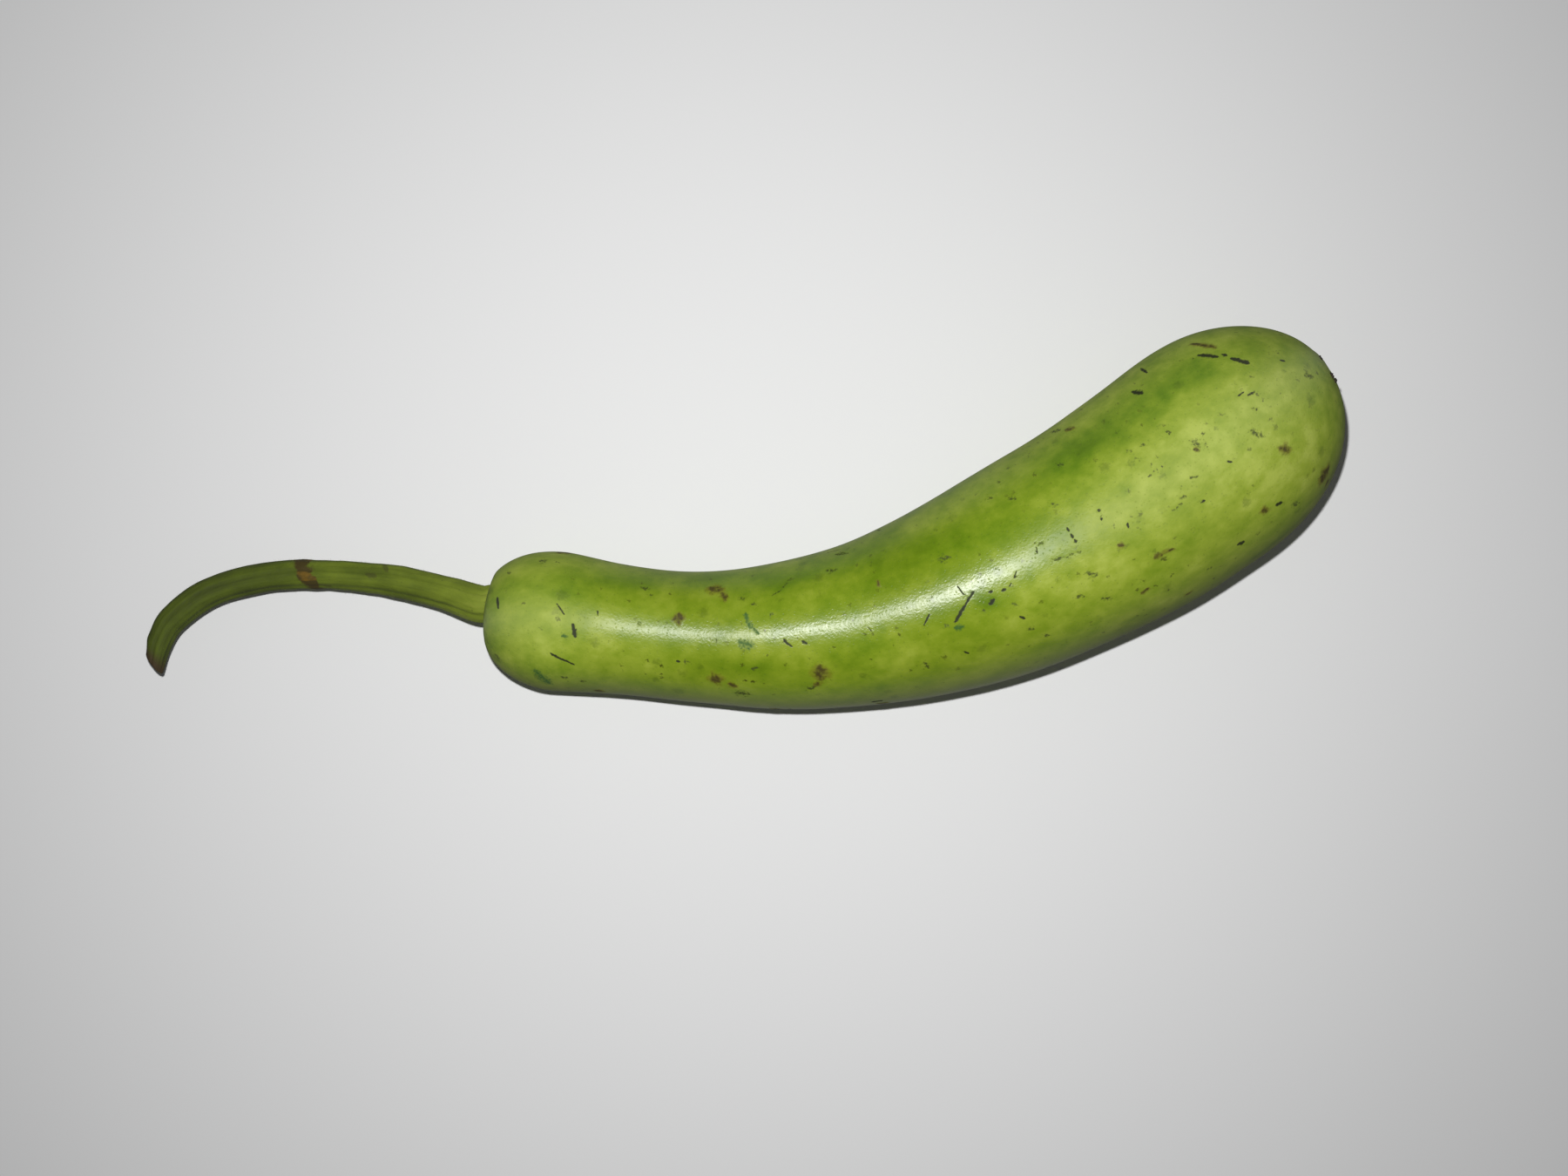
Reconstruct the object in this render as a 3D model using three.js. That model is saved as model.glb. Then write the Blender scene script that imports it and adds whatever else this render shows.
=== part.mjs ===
// A bottle gourd as picked, lying on its side: one long bent club-shaped fruit, thick towards its
// blossom end, and the ribbed stalk that it grew on, cut through at the vine.
// Millimetres, +Z up. The gourd rests on the plane z = 0, and the origin is on that plane, under the
// middle of the gourd's outline seen from above.
import * as THREE from "three";

// Driving dimensions of the fruit
const NECK_RADIUS = 24.9;
const WAIST_RADIUS = 22.8;
const BULB_RADIUS = 39.5;
const FLAT_DEPTH = 0.4;
const BLOSSOM_SCAR = { radius: 5.2, rim: 0.6, hollow: 0.5 };

// Driving dimensions of the stalk
const STALK_ROOT_RADIUS = 6.9;
const STALK_RADIUS = 5.2;
const STALK_TIP_RADIUS = 3.7;
const SOCKET_DEPTH = 10;
const SOCKET_OFFSET = 6.8;
const FIT_GAP = 0.3;
const FUNNEL = { depth: 1.6, reach: 5 };

// The fruit's middle line seen from above, from the stalk's socket to the blossom end. Its heights
// are worked out from the radii below, because the gourd lies on its own skin.
const FRUIT_LINE = [
  [-108, -12.4],
  [-86, -11.4],
  [-64, -14],
  [-32, -17.3],
  [-1.5, -17],
  [29.5, -12],
  [60, -2.5],
  [89.5, 11],
  [117.5, 26.3],
  [143.7, 44.4],
  [184.4, 78.6],
];

// The fruit's radius at equal steps along that line, before its two ends are rounded off
const FRUIT_RADII = [
  NECK_RADIUS + 0.3,
  NECK_RADIUS,
  WAIST_RADIUS + 0.1,
  WAIST_RADIUS + 0.8,
  WAIST_RADIUS + 3.4,
  WAIST_RADIUS + 6,
  BULB_RADIUS - 7,
  BULB_RADIUS - 4,
  BULB_RADIUS - 2.2,
  BULB_RADIUS - 0.3,
  BULB_RADIUS + 0.3,
  BULB_RADIUS + 0.6,
  BULB_RADIUS,
];

// How far the gourd's underside stands off the surface at the same steps, besides its flats
const FRUIT_LIFTS = [0.4, 0, 0.9, 1.6, 1.5, 0.8, 0.1, 0, 0, 0, 0, 0.6, 1.5];

// Each end is rounded off over a reach along the line, by a curve that is squarer at a higher power
const NECK_END = { reach: 30, power: 2.3, rings: 13 };
const BLOSSOM_END = { reach: 56, power: 2.15, rings: 18 };
const BODY_RINGS = 34;
const FRUIT_SIDES = 44;

// The stalk's middle line outside the fruit, with its heights, from just off the skin to the cut
const STALK_LINE = [
  [-120, -2, 22],
  [-138, 2.3, 19],
  [-157, 4.5, 16.5],
  [-176, 5, 15],
  [-193.5, 3, 15],
  [-208.8, -2, 16],
  [-220, -10.6, 17.5],
  [-224.8, -18.8, 18.5],
  [-226.7, -27, 19],
];

// The stalk's radius over its ribs, at equal steps from its root to its cut end
const STALK_RADII = [
  STALK_ROOT_RADIUS,
  STALK_ROOT_RADIUS - 0.3,
  STALK_ROOT_RADIUS - 1,
  STALK_RADIUS + 0.6,
  STALK_RADIUS + 0.2,
  STALK_RADIUS + 0.1,
  STALK_RADIUS + 0.2,
  STALK_RADIUS + 0.2,
  STALK_RADIUS + 0.2,
  STALK_RADIUS - 0.2,
  STALK_TIP_RADIUS,
];
const RIBS = 5;
const RIB_DEPTH = 0.085;
const RIB_TWIST = 0.7;
const STALK_SIDES = 30;
const STALK_RINGS = 44;
const NODE_RING = { at: 0.53, width: 0.02, height: 0.35 };
const CUT = { hollow: 1.4, slant: 0.55, reach: 12 };

const UP = new THREE.Vector3(0, 0, 1);

// A smooth curve through values at equal steps, read at a share from 0 to 1 of the whole
function smoothThrough(values) {
  const curve = new THREE.SplineCurve(values.map((value, i) => new THREE.Vector2(i, value)));
  return (share) => curve.getPoint(THREE.MathUtils.clamp(share, 0, 1)).y;
}

// The share of its full radius that a rounded end has at a distance from the pole
function rounding(distance, { reach, power }) {
  if (distance >= reach) return 1;
  return (1 - (1 - distance / reach) ** power) ** (1 / power);
}

function lineThrough(points) {
  const line = new THREE.CatmullRomCurve3(points, false, "centripetal");
  line.arcLengthDivisions = 600;
  return line;
}

// The point that lies a distance along a line, and so far to the right of it and over it
function besideLine(line, aside, along, above) {
  const length = line.getLength();
  const share = THREE.MathUtils.clamp(along / length, 0, 1);
  const ahead = line.getTangentAt(share);
  const right = new THREE.Vector3().crossVectors(ahead, UP).normalize();
  const over = new THREE.Vector3().crossVectors(right, ahead);
  return line
    .getPointAt(share)
    .addScaledVector(ahead, along - share * length)
    .addScaledVector(right, aside)
    .addScaledVector(over, above);
}

// Carries a solid that stands straight along +Y onto a curved line, with its height as the distance
function bendAlong(geometry, line) {
  const position = geometry.getAttribute("position");
  for (let i = 0; i < position.count; i++) {
    const point = besideLine(line, position.getX(i), position.getY(i), position.getZ(i));
    position.setXYZ(i, point.x, point.y, point.z);
  }
}

// The lengths along a flat line where each of its points lies, as shares of the whole
function sharesOf(points) {
  const flat = lineThrough(points.map(([x, y]) => new THREE.Vector3(x, y, 0)));
  const steps = 400;
  const lengths = flat.getLengths(steps);
  return points.map((_, i) => {
    const step = Math.round((i / (points.length - 1)) * steps);
    return lengths[step] / lengths[steps];
  });
}

const fruitRadius = smoothThrough(FRUIT_RADII);
const fruitLift = smoothThrough(FRUIT_LIFTS);
const fruitShares = sharesOf(FRUIT_LINE);
const fruitLine = lineThrough(
  FRUIT_LINE.map(([x, y], i) => {
    const share = fruitShares[i];
    return new THREE.Vector3(x, y, fruitRadius(share) + fruitLift(share) - FLAT_DEPTH);
  }),
);
const fruitLength = fruitLine.getLength();

// The straight fruit's outline, from the bottom of the socket, over its rim and skin, to the blossom end
function fruitOutline() {
  const socketRadius = STALK_ROOT_RADIUS + FIT_GAP;
  const outline = [new THREE.Vector2(0, SOCKET_DEPTH), new THREE.Vector2(socketRadius, SOCKET_DEPTH)];
  const skin = (along) => {
    const radius =
      fruitRadius(along / fruitLength) *
      rounding(along, NECK_END) *
      rounding(fruitLength - along, BLOSSOM_END);
    return new THREE.Vector2(radius, along);
  };
  for (let i = 0; i <= NECK_END.rings; i++) {
    const turn = (i / NECK_END.rings) * (Math.PI / 2);
    const point = skin(NECK_END.reach * (1 - Math.cos(turn)));
    if (i === 0) point.x = socketRadius;
    if (point.x >= socketRadius) outline.push(point);
  }
  const bodyStart = NECK_END.reach;
  const bodyEnd = fruitLength - BLOSSOM_END.reach;
  for (let i = 1; i <= BODY_RINGS; i++) {
    outline.push(skin(THREE.MathUtils.lerp(bodyStart, bodyEnd, i / BODY_RINGS)));
  }
  for (let i = 1; i < BLOSSOM_END.rings - 1; i++) {
    const turn = (i / BLOSSOM_END.rings) * (Math.PI / 2);
    outline.push(skin(bodyEnd + BLOSSOM_END.reach * Math.sin(turn)));
  }
  // The flower's scar: a low corky ring round a shallow hollow
  const { radius, rim, hollow } = BLOSSOM_SCAR;
  outline.push(
    new THREE.Vector2(radius * 1.25, fruitLength - 0.3),
    new THREE.Vector2(radius, fruitLength + rim),
    new THREE.Vector2(radius * 0.75, fruitLength - hollow),
    new THREE.Vector2(radius * 0.3, fruitLength - hollow),
    new THREE.Vector2(0, fruitLength),
  );
  return outline;
}

// The stalk grows off the middle of the neck's end: the rings there are drawn aside with its socket,
// stay on the rounded end, and dip towards the stalk as a shallow funnel
function drawTowardsStalk(position) {
  const socketRadius = STALK_ROOT_RADIUS + FIT_GAP;
  const { reach, power } = NECK_END;
  for (let i = 0; i < position.count; i++) {
    const [x, along, z] = [position.getX(i), position.getY(i), position.getZ(i)];
    if (along >= reach) continue;
    const radius = Math.hypot(x, z);
    const near = 1 - THREE.MathUtils.smoothstep(radius, socketRadius, NECK_RADIUS * 0.85);
    const aside = x - SOCKET_OFFSET * near;
    position.setX(i, aside);
    if (along === SOCKET_DEPTH) continue;
    const full = fruitRadius(along / fruitLength);
    const out = Math.min(Math.hypot(aside, z) / full, 1);
    const onEnd = reach * (1 - (1 - out ** power) ** (1 / power));
    const dip = FUNNEL.depth * Math.exp(-(((radius - socketRadius) / FUNNEL.reach) ** 2));
    position.setY(i, onEnd + dip);
  }
}

function fruitGeometry() {
  const geometry = new THREE.LatheGeometry(fruitOutline(), FRUIT_SIDES);
  const position = geometry.getAttribute("position");
  drawTowardsStalk(position);
  bendAlong(geometry, fruitLine);
  // The skin that would reach below the surface lies flat on it
  for (let i = 0; i < position.count; i++) {
    position.setZ(i, Math.max(position.getZ(i), 0));
  }
  return geometry;
}

const fruit = new THREE.Mesh(
  fruitGeometry(),
  new THREE.MeshStandardMaterial({ color: 0x8ea63a, roughness: 0.35, metalness: 0 }),
);
fruit.name = "fruit";

const stalkRadius = smoothThrough(STALK_RADII);

// The stalk starts in the fruit's socket and leaves along the fruit's own line
function stalkLine() {
  const inSocket = (depth) => besideLine(fruitLine, -SOCKET_OFFSET, depth, 0);
  return lineThrough([
    inSocket(SOCKET_DEPTH - FIT_GAP),
    inSocket(SOCKET_DEPTH / 2),
    inSocket(0),
    ...STALK_LINE.map((point) => new THREE.Vector3(...point)),
  ]);
}

// The straight stalk's outline, from its root to a cut end that has dried hollow
function stalkOutline(length) {
  const outline = [new THREE.Vector2(0, 0), new THREE.Vector2(stalkRadius(0) * 0.6, 0)];
  for (let i = 0; i <= STALK_RINGS; i++) {
    const share = i / STALK_RINGS;
    const node = NODE_RING.height * Math.exp(-(((share - NODE_RING.at) / NODE_RING.width) ** 2));
    outline.push(new THREE.Vector2(stalkRadius(share) + node, share * (length - 0.5)));
  }
  outline.push(new THREE.Vector2(STALK_TIP_RADIUS * 0.8, length));
  outline.push(new THREE.Vector2(STALK_TIP_RADIUS * 0.45, length - CUT.hollow));
  outline.push(new THREE.Vector2(0, length - CUT.hollow));
  return outline;
}

// Rounded ribs with narrower grooves between them, which turn slowly round the stalk
function ribShare(angle, share) {
  const wave = Math.abs(Math.cos((RIBS / 2) * (angle + RIB_TWIST * share)));
  return 1 - RIB_DEPTH * (1 - wave ** 0.8);
}

function stalkGeometry() {
  const line = stalkLine();
  const length = line.getLength();
  const geometry = new THREE.LatheGeometry(stalkOutline(length), STALK_SIDES);
  const position = geometry.getAttribute("position");
  for (let i = 0; i < position.count; i++) {
    const [x, z] = [position.getX(i), position.getZ(i)];
    const along = position.getY(i);
    const rib = ribShare(Math.atan2(x, z), along / length);
    const slant = CUT.slant * THREE.MathUtils.smoothstep(along, length - CUT.reach, length);
    position.setXYZ(i, x * rib, along - x * rib * slant, z * rib);
  }
  bendAlong(geometry, line);
  return geometry;
}

const stalk = new THREE.Mesh(
  stalkGeometry(),
  new THREE.MeshStandardMaterial({ color: 0x5f7327, roughness: 0.6, metalness: 0 }),
);
stalk.name = "stalk";

const gourd = new THREE.Group();
gourd.add(fruit, stalk);

// The origin is under the middle of the outline
const middle = new THREE.Box3().setFromObject(gourd).getCenter(new THREE.Vector3());
gourd.position.set(-middle.x, -middle.y, 0);

export default gourd;
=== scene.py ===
import math
import random

import bmesh
import bpy
import numpy as np
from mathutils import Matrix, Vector, noise
from mathutils.bvhtree import BVHTree
from mathutils.kdtree import KDTree


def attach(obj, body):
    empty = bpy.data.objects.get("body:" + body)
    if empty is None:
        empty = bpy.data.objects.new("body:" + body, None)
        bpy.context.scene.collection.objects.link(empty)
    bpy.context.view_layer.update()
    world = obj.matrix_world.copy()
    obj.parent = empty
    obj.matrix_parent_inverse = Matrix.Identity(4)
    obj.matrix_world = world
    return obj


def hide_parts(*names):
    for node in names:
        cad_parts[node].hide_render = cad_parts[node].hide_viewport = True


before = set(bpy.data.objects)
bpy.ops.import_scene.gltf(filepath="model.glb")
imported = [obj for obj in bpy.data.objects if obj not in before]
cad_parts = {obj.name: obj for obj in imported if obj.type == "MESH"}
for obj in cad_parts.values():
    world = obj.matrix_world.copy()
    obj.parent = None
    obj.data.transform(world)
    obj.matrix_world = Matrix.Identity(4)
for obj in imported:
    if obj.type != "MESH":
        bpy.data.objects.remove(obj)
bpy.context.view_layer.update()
scene = bpy.context.scene
MM = 0.001


# The camera
# It looks straight down from over the waist of the fruit, as a phone held at arm's length does.
PHOTO_WIDTH = 1800
PHOTO_HEIGHT = 1350
SENSOR_WIDTH = 36.0
LENS = 36.42
FOCAL_PIXELS = LENS / SENSOR_WIDTH * PHOTO_WIDTH
EYE = Vector((18.6, -23.7, 590.0)) * MM


def in_scene(name, data):
    """A new object in the scene, with that data."""
    made = bpy.data.objects.new(name, data)
    scene.collection.objects.link(made)
    return made


camera = in_scene("camera", bpy.data.cameras.new("camera"))
camera.data.sensor_width = SENSOR_WIDTH
camera.data.lens = LENS
camera.location = EYE
scene.camera = camera


# The light
# A small soft lamp beside the lens gives the long highlight and the thin shadow under the fruit, and
# an even pale surrounding fills in the sides.
LAMP_FROM_LENS = Vector((-13.0, 36.0, 0.0)) * MM
LAMP_SIZE = 12 * MM
LAMP_POWER = 3.25
SURROUND_COLOR = (0.97, 0.98, 1.0, 1.0)
SURROUND_STRENGTH = 0.072
GLOSS_STRENGTH = 0.01


def put_in(tree, node, inputs):
    """Gives a node's inputs their links or values."""
    for socket, value in inputs.items():
        if isinstance(value, bpy.types.NodeSocket):
            tree.links.new(value, node.inputs[socket])
        else:
            node.inputs[socket].default_value = value


def add(tree, kind, inputs=None, **settings):
    """Adds a node: its settings first, then a link or a value for each input that is given."""
    made = tree.nodes.new(kind)
    for name, value in settings.items():
        setattr(made, name, value)
    put_in(tree, made, inputs or {})
    return made


def faded(tree, value, start, end, low=0.0, high=1.0, kind="SMOOTHSTEP"):
    """Low where a value is at its start, high where it is at its end, and a fade between."""
    limits = {"From Min": start, "From Max": end, "To Min": low, "To Max": high}
    return add(tree, "ShaderNodeMapRange", {"Value": value, **limits}, interpolation_type=kind).outputs[0]


lamp = in_scene("lamp", bpy.data.lights.new("lamp", "AREA"))
lamp.data.shape = "DISK"
lamp.data.size = LAMP_SIZE
lamp.data.energy = LAMP_POWER
lamp.location = EYE + LAMP_FROM_LENS

scene.world = bpy.data.worlds.new("surround")
scene.world.use_nodes = True
tree = scene.world.node_tree
in_gloss = add(tree, "ShaderNodeLightPath").outputs["Is Glossy Ray"]
strength = faded(tree, in_gloss, 0.0, 1.0, SURROUND_STRENGTH, GLOSS_STRENGTH, kind="LINEAR")
put_in(tree, tree.nodes["Background"], {"Color": SURROUND_COLOR, "Strength": strength})
scene.view_settings.view_transform = "Standard"


# The surface under the gourd
# A plain pale matt sheet, wide enough to fill every view. The gloss of the skin shows it dimmer than
# it is, so that the skin's edges keep their green.
FLOOR_SIZE = 6.0
FLOOR_DROP = 0.05 * MM
FLOOR_COLOR = (0.80, 0.80, 0.80, 1.0)
FLOOR_ROUGHNESS = 0.9
FLOOR_SPECULAR = 0.1
FLOOR_IN_GLOSS = (0.20, 0.20, 0.20, 1.0)


def new_material(name):
    """An empty node material, and its node tree with one Principled shader."""
    material = bpy.data.materials.new(name)
    material.use_nodes = True
    return material, material.node_tree


def math_node(tree, operation, a, b):
    return add(tree, "ShaderNodeMath", {0: a, 1: b}, operation=operation).outputs[0]


def painted(tree, under, color, mask, share=1.0):
    """Paints a colour over another by a share of the mask."""
    cover = math_node(tree, "MULTIPLY", mask, share)
    return add(tree, "ShaderNodeMix", {0: cover, 6: under, 7: color}, data_type="RGBA").outputs[2]


floor_mesh = bpy.data.meshes.new("floor")
half = FLOOR_SIZE / 2
corners = [(-half, -half), (half, -half), (half, half), (-half, half)]
floor_mesh.from_pydata([(x, y, -FLOOR_DROP) for x, y in corners], [], [(0, 1, 2, 3)])
floor = in_scene("floor", floor_mesh)
sheet_material, tree = new_material("pale_sheet")
in_gloss = add(tree, "ShaderNodeLightPath").outputs["Is Glossy Ray"]
put_in(
    tree,
    tree.nodes["Principled BSDF"],
    {
        "Base Color": painted(tree, FLOOR_COLOR, FLOOR_IN_GLOSS, in_gloss),
        "Roughness": FLOOR_ROUGHNESS,
        "Specular IOR Level": FLOOR_SPECULAR,
    },
)
floor_mesh.materials.append(sheet_material)


# The fruit
# One grown piece with a thin waxy skin. It takes its form from the CAD solid, made smooth and a
# little uneven, and then carries the cuts, scabs and bruises of its handling.
JOINED_POINTS = 0.01 * MM
QUAD_BEND = math.radians(50)
QUAD_SKEW = math.radians(60)
SMOOTH_LEVELS = 2
FRUIT_LINE = np.array([
    (-89.4, -36.1, 25.2),
    (-67.4, -35.1, 24.5),
    (-45.4, -37.7, 23.6),
    (-13.4, -41.0, 24.8),
    (17.1, -40.7, 27.5),
    (48.1, -35.7, 30.7),
    (78.6, -26.2, 34.6),
    (108.1, -12.7, 37.6),
    (136.1, 2.6, 39.4),
    (162.3, 20.7, 40.0),
    (203.0, 54.9, 40.4),
]) * MM
FRUIT_CURVE_POINTS = 400
FRUIT_STEPS = 700
LUMPS = ((46 * MM, 0.42 * MM), (21 * MM, 0.14 * MM), (8 * MM, 0.035 * MM))
SOCKET_CLEAR = 14 * MM


def smooth_through(points, count):
    """That many points on the smooth curve through a few, at even shares between them."""
    points = np.array(points, float)
    ends = 2 * points[[0, -1]] - points[[1, -2]]
    padded = np.concatenate([ends[:1], points, ends[1:]])
    at = np.linspace(0, len(points) - 1, count)
    first = np.minimum(at.astype(int), len(points) - 2)
    share = (at - first).reshape(-1, *[1] * (points.ndim - 1))
    a, b, c, d = (padded[first + i] for i in range(4))
    bend = 2 * a - 5 * b + 4 * c - d + share * (3 * (b - c) + d - a)
    return b + 0.5 * share * (c - a + share * bend)


def even_steps(points, count):
    """The same line in equal steps, with the distance along it at each."""
    runs = np.linalg.norm(np.diff(points, axis=0), axis=1)
    along = np.concatenate([[0], np.cumsum(runs)])
    even = np.linspace(0, along[-1], count)
    return np.stack([np.interp(even, along, points[:, i]) for i in range(3)], axis=1), even


def straight_places(points, line, along):
    """Where each point would be if the line were straight: (along it, to its right, over it)."""
    ahead = np.gradient(line, axis=0)
    ahead /= np.linalg.norm(ahead, axis=1)[:, None]
    right = np.cross(ahead, (0, 0, 1))
    right /= np.linalg.norm(right, axis=1)[:, None]
    over = np.cross(right, ahead)
    tree_of_line = KDTree(len(line))
    for i, point in enumerate(line):
        tree_of_line.insert(point, i)
    tree_of_line.balance()
    nearest = np.array([tree_of_line.find(point)[1] for point in points])
    offset = points - line[nearest]
    places = [np.einsum("ij,ij->i", offset, side[nearest]) for side in (ahead, right, over)]
    places[0] += along[nearest]
    return np.stack(places, axis=1)


def vectors_of(items, field):
    """One row for each vertex or normal of a mesh, with its three numbers."""
    flat = np.empty(len(items) * 3)
    items.foreach_get(field, flat)
    return flat.reshape(-1, 3)


def keep_on_points(mesh, name, values):
    """Stores a number or a vector on each vertex, for the material to read."""
    kind = "FLOAT" if values.ndim == 1 else "FLOAT_VECTOR"
    field = "value" if values.ndim == 1 else "vector"
    attribute = mesh.attributes.new(name, kind, "POINT")
    attribute.data.foreach_set(field, values.astype(np.float32).ravel())


def smooth_copy(node, name):
    """A copy of a CAD node with its loose triangles joined, paired into quads and subdivided."""
    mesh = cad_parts[node].data.copy()
    mesh.materials.clear()
    work = bmesh.new()
    work.from_mesh(mesh)
    bmesh.ops.remove_doubles(work, verts=work.verts, dist=JOINED_POINTS)
    bmesh.ops.join_triangles(
        work, faces=work.faces, angle_face_threshold=QUAD_BEND, angle_shape_threshold=QUAD_SKEW
    )
    work.to_mesh(mesh)
    work.free()
    rough = in_scene(name + "_rough", mesh)
    smoothing = rough.modifiers.new("smooth", "SUBSURF")
    smoothing.levels = smoothing.render_levels = SMOOTH_LEVELS
    finished = finished_mesh(rough, name)
    bpy.data.objects.remove(rough)
    return finished


def finished_mesh(maker, name):
    """The plain mesh that an object's modifiers make."""
    made = maker.evaluated_get(bpy.context.evaluated_depsgraph_get())
    mesh = bpy.data.meshes.new_from_object(made)
    mesh.name = name
    return mesh


fruit_mesh = smooth_copy("fruit", "fruit_skin")
fruit_line, fruit_along = even_steps(smooth_through(FRUIT_LINE, FRUIT_CURVE_POINTS), FRUIT_STEPS)
fruit_length = fruit_along[-1]


# The marks on the skin
# Each is a short stroke, from one pixel of the photograph to another, with its width in pixels
# there. A ray from the camera through each pixel puts it on the skin.
CUTS_SEEN = [
    ((571, 686), (572, 698), 3.4),
    ((639, 693), (642, 697), 1.7),
    ((642, 697), (648, 706), 1.9),
    ((657.5, 717), (660.5, 731), 4.4),
    ((632, 750), (645, 757), 2.6),
    ((645, 756.5), (659, 763), 2.3),
    ((686, 699), (686.5, 707), 1.4),
    ((777, 759), (780, 759.5), 2.4),
    ((900, 734), (902.5, 737), 3.4),
    ((902, 737), (909.5, 742.5), 2.6),
    ((921, 736), (926, 739), 3.2),
    ((1096.5, 714), (1108, 695), 3.4),
    ((1107, 696.5), (1119.5, 676), 2.4),
    ((1098.5, 672), (1111.5, 690), 1.3),
    ((1060.5, 718), (1068.5, 702), 1.8),
    ((1088, 681), (1088.6, 686), 1.8),
    ((992, 714), (1002, 726.5), 1.1),
    ((1136, 694), (1141, 688.5), 4.4),
    ((1150, 678.5), (1154.5, 676.5), 3.2),
    ((1135, 680), (1139, 678.5), 3),
    ((1157, 676), (1162, 668), 1.5),
    ((1162, 668), (1167, 655.5), 1.3),
    ((1171, 708), (1176, 710), 3.4),
    ((1189.5, 627), (1191.5, 641.5), 1.4),
    ((1225, 606), (1227, 609.5), 2.6),
    ((1229.5, 613.5), (1231.5, 617), 3),
    ((1234, 620), (1236, 623), 3.4),
    ((1260.5, 584), (1262, 587.5), 3.4),
    ((1264, 592.5), (1265, 597), 2.8),
    ((1294.5, 601), (1295.5, 606), 2.8),
    ((1376, 408), (1397, 410), 5.6),
    ((1414, 412), (1433.5, 417), 5.8),
    ((1403.5, 407), (1408, 408.5), 4),
    ((1309.5, 423), (1317, 428), 3.2),
    ((1301, 450), (1311, 451.5), 6.2),
    ((1421, 455), (1428, 450), 1.9),
    ((1432, 454), (1440, 450.3), 2.6),
    ((1470, 413.6), (1475, 414.4), 3),
    ((1409, 529.5), (1414, 530.5), 2.6),
    ((1464.5, 579.5), (1471, 577), 4),
    ((1377, 575.6), (1383, 574.6), 3.2),
    ((1421, 625), (1428, 622), 4.2),
    ((1107, 748), (1112, 750.5), 2.6),
    ((1001, 805.5), (1013, 804), 4),
]
SCABS_SEEN = [
    ((814, 676), (828, 677), 11),
    ((829, 680), (833, 689), 6),
    ((774, 711), (784, 709.5), 9),
    ((779, 705), (779.5, 716), 6),
    ((818, 780), (826, 779), 13),
    ((837, 785), (845, 788), 6),
    ((942, 767), (942, 778), 15),
    ((939, 783), (936, 787), 6),
    ((1368, 396), (1395, 400), 6),
    ((1326, 640), (1334, 636), 6.4),
    ((1333, 636), (1347, 629.5), 3.6),
    ((1470.5, 515), (1479.5, 516), 10),
    ((1515.5, 552), (1523, 538), 16),
    ((1521.5, 557), (1524.5, 550), 6),
    ((1448, 586), (1454, 585), 8),
    ((1223, 493), (1232, 491.5), 6),
    ((1007.5, 667), (1009.5, 673), 3),
    ((1284, 626), (1290, 626), 4.4),
    ((1371, 516), (1376, 517), 4),
    ((1310, 681), (1318, 675), 4),
    ((1361, 683), (1368, 679), 4),
]
BLOTCHES_SEEN = [
    ((1186.5, 617), (1190, 628), 2.0),
    ((1205.5, 645), (1221, 639), 3.4),
    ((1224, 640), (1241, 633), 3.0),
    ((667, 781.5), (672, 782), 6),
    ((644, 777.5), (651, 778), 6),
    ((556, 780), (566, 782), 8),
    ((886.5, 683.5), (896, 678), 2),
    ((895, 678.5), (908, 663), 2.4),
    ((1084, 717.5), (1089, 718), 4.4),
    ((1125, 702), (1132, 700.5), 3.6),
    ((1162, 693), (1168, 694.5), 5),
    ((1180, 723), (1186, 722), 5),
    ((1199, 729), (1205, 729.5), 5),
    ((1061, 762), (1066, 767), 7),
    ((1381, 496), (1382, 500), 4),
    ((1383.5, 508), (1386, 514), 3),
    ((1369, 508), (1377, 510), 9),
    ((1437, 469), (1443, 470), 4),
    ((1293, 517), (1301, 518), 3.4),
    ((1310, 510), (1314, 511.5), 3),
    ((1303, 525), (1306, 526), 3.4),
    ((1354, 571), (1362, 570), 4),
    ((1366, 549), (1373, 547), 4),
    ((1483, 579), (1490, 578), 6),
    ((1498, 431), (1507, 433), 6),
    ((850, 686), (855, 688.5), 6),
    ((863, 694), (868, 693), 4.4),
    ((884, 706), (888, 706), 4),
    ((736, 674), (743, 677), 5),
    ((744.5, 683), (749.5, 683.5), 4),
    ((731, 715), (737, 716.5), 4.4),
    ((820.5, 735.5), (825, 736), 3.4),
    ((862, 768), (869, 766.5), 4.4),
    ((846, 796), (860, 796.5), 8),
    ((928, 791), (936, 788), 7),
    ((785, 760.5), (792, 761), 4.4),
    ((620, 643.5), (627, 644.5), 7),
    ((569, 752), (575, 757), 5),
    ((960, 636), (973, 635), 6),
    ((948, 655), (960, 654), 5),
    ((1248, 659), (1259, 660.5), 8),
    ((1236, 685), (1245, 684.5), 5),
    ((1266, 687), (1276, 687), 5),
    ((1078, 642), (1089, 640), 8),
    ((1346, 587), (1357, 577), 1.8),
    ((1192, 624), (1199, 623.5), 3),
    ((1159, 571), (1166, 572), 5),
    ((1132, 572), (1139, 571.5), 4.4),
    ((1207, 578), (1213, 579), 4.4),
    ((1213, 533), (1220, 533), 4.4),
    ((1207, 495), (1217, 493), 6),
    ((1436, 495), (1449, 501), 6),
]
STAINS_SEEN = [
    ((614, 769), (621, 776), 7),
    ((620, 775), (631, 784), 11),
    ((645, 730), (650, 729.5), 5),
    ((855.5, 703), (858, 714), 4),
    ((858, 714), (864, 721), 5.5),
    ((864, 721), (871, 728), 3.4),
    ((849, 737), (863, 741), 10),
    ((1096, 721), (1105, 720), 6),
]
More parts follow.
